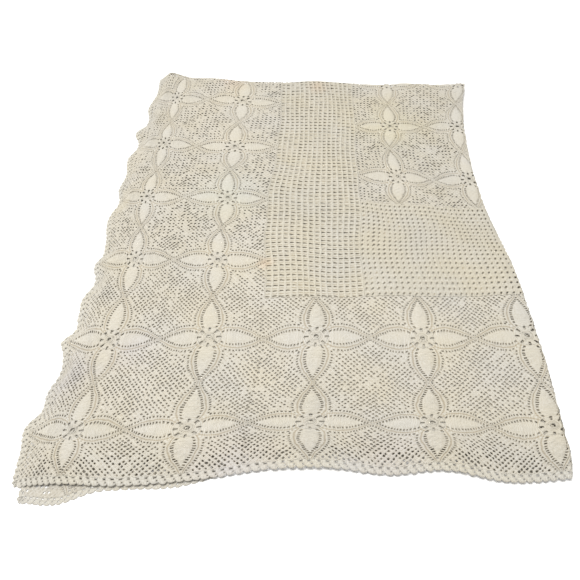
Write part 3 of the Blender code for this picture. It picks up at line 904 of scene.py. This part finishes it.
STAINS_AND_PAINTED_SHADE = np.array([
    # across, along, reach, and what it does to red, green and blue
    [0.40, 0.49, 0.022, 1.04, 0.93, 0.86],
    [0.50, 1.17, 0.040, 1.02, 0.94, 0.90],
    [0.26, 1.18, 0.050, 1.02, 0.95, 0.91],
    [0.70, 1.00, 0.160, 1.00, 0.99, 0.90],
    [0.15, 0.27, 0.070, 0.97, 0.98, 1.06],
    # painted shade: greyish-lilac shade of the near hem where it turns down
    [0.38, 0.00, 0.100, 0.97, 0.97, 1.04],
    [0.62, 0.02, 0.080, 0.98, 0.98, 1.04],
    # darker and bluer at the left hem
    [0.04, 0.22, 0.080, 0.93, 0.94, 1.02],
    [0.30, 0.72, 0.120, 0.97, 1.00, 1.00],
])
CLOUDS = (
    # size of the patches, detail, noise where they start, and where they are full, tint
    (0.09, 3.0, 0.35, 0.65, (1.0, 0.98, 0.92)),
    (0.16, 1.0, 0.40, 0.65, (0.97, 0.98, 1.0)),
)
PATCH_RAG = 0.8  # how ragged the edge of a stain or of a patch of painted shade is, in reaches
# painted shade of the grooves between stitches
PAINTED_GROOVE_SHADE = (0.85, 0.82, 0.765)


def cotton(name, colour, stitch_pitch, relief, shade):
    """Cotton thread: cream, drifting warmer and cooler, with a few old stains and painted shade at the
    near hem.

    Its height is stitches, as waves of the stitch map, and noise for the uneven thread. The same
    height paints shade into the grooves between stitches, and shade is painted in the hollows.
    """
    material = bpy.data.materials.new(name)
    material.use_nodes = True
    nodes, links = material.node_tree.nodes, material.node_tree.links

    def fed(node, values):
        """The node, its inputs set to values or linked to what other nodes give."""
        for place, value in values.items():
            if isinstance(value, bpy.types.NodeSocket):
                links.new(value, node.inputs[place])
            else:
                node.inputs[place].default_value = value
        return node

    def added(kind, values, **settings):
        node = nodes.new("ShaderNode" + kind)
        for setting, value in settings.items():
            setattr(node, setting, value)
        return fed(node, values)

    def noise(vector, size, detail):
        return added("TexNoise", {"Scale": 1 / size, "Detail": detail, "Vector": vector}).outputs["Fac"]

    def rescaled(value, low, high, to_low=0.0, to_high=1.0):
        values = {"Value": value, "From Min": low, "From Max": high, "To Min": to_low, "To Max": to_high}
        return added("MapRange", values).outputs["Result"]

    def calculated(operation, first, second):
        return added("Math", {0: first, 1: second}, operation=operation).outputs["Value"]

    def tinted(base, tint, share):
        values = {"A": base, "B": (*tint, 1), "Factor": share}
        return added("Mix", values, data_type="RGBA", blend_type="MULTIPLY").outputs["Result"]

    cloth = added("UVMap", {}, uv_map="Cloth").outputs["UV"]
    stitch = added("UVMap", {}, uv_map="Stitch").outputs["UV"]
    cream = (*colour, 1)
    for size, detail, low, high, tint in CLOUDS:
        cream = tinted(cream, tint, rescaled(noise(cloth, size / MAP_SIZE, detail), low, high))
    # stains, and patches of painted shade along the near hem
    for across, along, reach, *tint in STAINS_AND_PAINTED_SHADE.tolist():
        middle = (across / MAP_SIZE + MAP_START, along / MAP_SIZE + MAP_START, 0)
        distance = added("VectorMath", {0: cloth, 1: middle}, operation="DISTANCE").outputs["Value"]
        reach = reach / MAP_SIZE
        ragged = calculated("MULTIPLY", noise(cloth, 0.03 / MAP_SIZE, 2.0), PATCH_RAG * reach)
        edge = calculated("ADD", distance, ragged)
        cream = tinted(cream, tint, rescaled(edge, 1.4 * reach, 0.4 * reach))

    # the wave node counts 20 radians to a unit
    ribs = added("TexWave", {"Scale": 0.1 * np.pi / stitch_pitch, "Phase Offset": np.pi,
                             "Distortion": 0.8, "Detail Scale": 1.0, "Vector": stitch}).outputs["Fac"]
    thread = noise(stitch, 0.0032, 2.0)
    height = calculated("ADD", ribs, calculated("MULTIPLY", thread, 2.4))
    # painted shade: darker where the stitch height is low, in the grooves between stitches
    cream = tinted(cream, PAINTED_GROOVE_SHADE, rescaled(height, 1.1, 2.1, 1.0, 0.0))
    hollow_shade = added("Attribute", {}, attribute_name="HollowShade").outputs["Fac"]
    # painted shade: the hollows are darkened towards the shade colour
    cream = tinted(cream, shade, rescaled(hollow_shade, 0.0, 0.55))
    bump = added("Bump", {"Strength": 1.0, "Distance": relief, "Height": height}).outputs["Normal"]
    fed(nodes["Principled BSDF"], {
        "Base Color": cream, "Roughness": 0.9, "Specular IOR Level": 0.2,
        "Sheen Weight": 0.05, "Sheen Roughness": 0.6, "Normal": bump})
    return material


# the last colour of each cotton is the painted shade of its hollows
flower_cotton = cotton("flower cotton", (0.548, 0.528, 0.479), 0.00253, 0.0004, (0.74, 0.70, 0.64))
# painted shade: the bands' cream is darker than the flowers', for the shade between their ribs
mesh_cotton = cotton("mesh cotton", (0.535, 0.514, 0.456), 0.0032, 0.0004, (0.70, 0.655, 0.585))
# painted light and shade: the edging's cream is paler and greyer than the flowers', for the turned-down
# hem
edging_cotton = cotton("edging cotton", (0.56, 0.545, 0.500), 0.0022, 0.0003, (0.80, 0.79, 0.78))

# Pieces
FLOWERS, BANDS = "flower_cotton", "mesh_cotton"
COTTONS = {FLOWERS: flower_cotton, BANDS: mesh_cotton}
RAISED = 0.001  # how far the top layer is lifted, and the edging
EDGING_RAISED = 0.0008
FLATTENED = 0.3  # share of the lift that is left in the bottom layer
FAR_END = 2.0  # along: where the hidden far end band meets the border
FAR_BLOCK = 1.7  # and the hidden centre block meets it
RIGHT_BLOCK = 1.2  # across: where the hidden parts of the block meet the right side band


def put(name, work, node, slot, cotton=None, relief=1.0, raised=0.0):
    """One piece of the work in its cotton, put in place of the model's node, which is hidden."""
    piece = cloth_piece(name, work, cotton or COTTONS[slot], relief, raised)
    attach(piece, "root")
    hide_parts(node)


SQUARE_PIECES = (
    # name, node, what it lies on, columns and rows of squares, where such squares begin along,
    # left, right, near and far side, and which of those are bound
    ("border_corner", "flower_border", "border_under", (0, 1), (0, 1), 0.0,
     (0, BORDER, 0, BORDER), (True, False, True, False)),
    ("border_near", "flower_border", "border_under", (2, 3, 4), (0, 1), 0.0,
     (BORDER, SIDE_TUCK, 0, BORDER), (False, False, True, True)),
    ("border_side", "flower_border", "border_under", (0, 1), (2, 3), 0.0,
     (0, BORDER, BORDER, 2 * BORDER), (True, True, False, False)),
    ("border_far", "flower_border", "border_under", (0, 1), (4, 5, 6), 0.0,
     (0, BORDER, 2 * BORDER, FAR_TUCK), (True, True, False, False)),
    ("centre_block", "flower_centre", "centre_block_under", (3, 4), (3.5, 4.5, 5.5), BLOCK_ALONG,
     (BLOCK_ACROSS, SIDE_TUCK, BLOCK_ALONG, FAR_TUCK), (True, False, True, False)),
)
for name, node, rests_on, columns, rows, begin_y, box, bound in SQUARE_PIECES:
    flat = (box[1] - box[0], box[3] - box[2])
    put(name, squares(columns, rows, box, bound, begin_y), node, FLOWERS,
        raised=RAISED)

put("side_band", side_band().within(-1, BLOCK_ACROSS, -1, FAR_TUCK), "side_band_left", BANDS,
    raised=RAISED)
put("end_band", end_band().within(-1, SIDE_TUCK, -1, BLOCK_ALONG), "end_band_near", BANDS,
    raised=RAISED)
put("scalloped_edging", edging(), "flower_border", FLOWERS,
    cotton=edging_cotton, raised=EDGING_RAISED)
under = squares((0, 1), (11,), (0, BORDER, ALONG - SQUARE, ALONG), (True, False, False, True))
put("border_under_corner", under, "flower_border", FLOWERS,
    relief=FLATTENED)

HIDDEN_PIECES = (
    # name, node, slot, flat size, what it lies on, its rectangles: left, right, near, far
    ("border_under", "flower_border", FLOWERS, (1.8, 2.4), "side_band_under", (
        (SIDE_TUCK, ACROSS, 0, BORDER), (ACROSS - BORDER, ACROSS, BORDER, FAR_END),
        (0, ACROSS, FAR_END, 2.2), (BORDER, ACROSS, 2.2, ALONG), (0, BORDER, FAR_TUCK, FAR_END))),
    ("side_band_under", "side_band_left", BANDS, (SQUARE, FAR_END - FAR_TUCK), "border_under", (
        (BORDER, BLOCK_ACROSS, FAR_TUCK, FAR_END),)),
    ("side_band_right_under", "side_band_right", BANDS, (SQUARE, 1.6), "border_under", (
        (RIGHT_BLOCK, 1.4, BORDER, FAR_END),)),
    ("end_band_under", "end_band_near", BANDS, (RIGHT_BLOCK - SIDE_TUCK, 0.3), "centre_block_under", (
        (SIDE_TUCK, RIGHT_BLOCK, BORDER, BLOCK_ALONG),)),
    ("end_band_far_under", "end_band_far", BANDS, (0.6, 0.3), "border_under", (
        (BLOCK_ACROSS, RIGHT_BLOCK, FAR_BLOCK, FAR_END),)),
    ("centre_block_under", "flower_centre", FLOWERS, (0.6, 1.0), "end_band_far_under", (
        (SIDE_TUCK, RIGHT_BLOCK, BLOCK_ALONG, FAR_TUCK),
        (BLOCK_ACROSS, RIGHT_BLOCK, FAR_TUCK, FAR_BLOCK))),
)
for name, node, slot, flat, rests_on, boxes in HIDDEN_PIECES:
    put(name, joined([sheet_of(*box) for box in boxes]), node, slot)

# Floor, light and camera

floor_mesh = bpy.data.meshes.new("floor")
floor_mesh.from_pydata([(-6, -6, 0), (6, -6, 0), (6, 8, 0), (-6, 8, 0)], [], [(0, 1, 2, 3)])
floor = bpy.data.objects.new("floor", floor_mesh)
scene.collection.objects.link(floor)
paint = bpy.data.materials.new("floor white")
paint.use_nodes = True
surface = paint.node_tree.nodes["Principled BSDF"].inputs
surface["Base Color"].default_value = (0.95, 0.95, 0.95, 1)
surface["Roughness"].default_value = 0.8
floor_mesh.materials.append(paint)
floor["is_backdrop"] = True

world = bpy.data.worlds.new("studio")
scene.world = world
world.use_nodes = True
sky = world.node_tree.nodes["Background"].inputs
sky["Color"].default_value = (1.0, 0.99, 0.97, 1)
sky["Strength"].default_value = 0.66

light = bpy.data.lights.new("window", "AREA")
light.shape = "SQUARE"
light.size = 1.6
light.energy = 131
light.color = (1.0, 0.99, 0.97)
lamp = bpy.data.objects.new("window", light)
scene.collection.objects.link(lamp)
lamp.location = (-0.75, -0.25, 3.4)
aim = -np.array(lamp.location)  # at the middle of the bedspread
lamp.rotation_euler = (np.arccos(-aim[2] / np.linalg.norm(aim)), 0, np.arctan2(-aim[0], aim[1]))
scene.view_settings.view_transform = "Standard"

view = bpy.data.cameras.new("camera")
view.lens = 34.14
view.sensor_width = 36
camera = bpy.data.objects.new("camera", view)
scene.collection.objects.link(camera)
camera.location = (-0.0337, -0.9409, 0.8717)
camera.rotation_euler = (0.7036, 0, 0)
scene.camera = camera

boxes = [[list(corner_) for corner_ in CAD_BOX], [list(corner_) for corner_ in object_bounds()]]
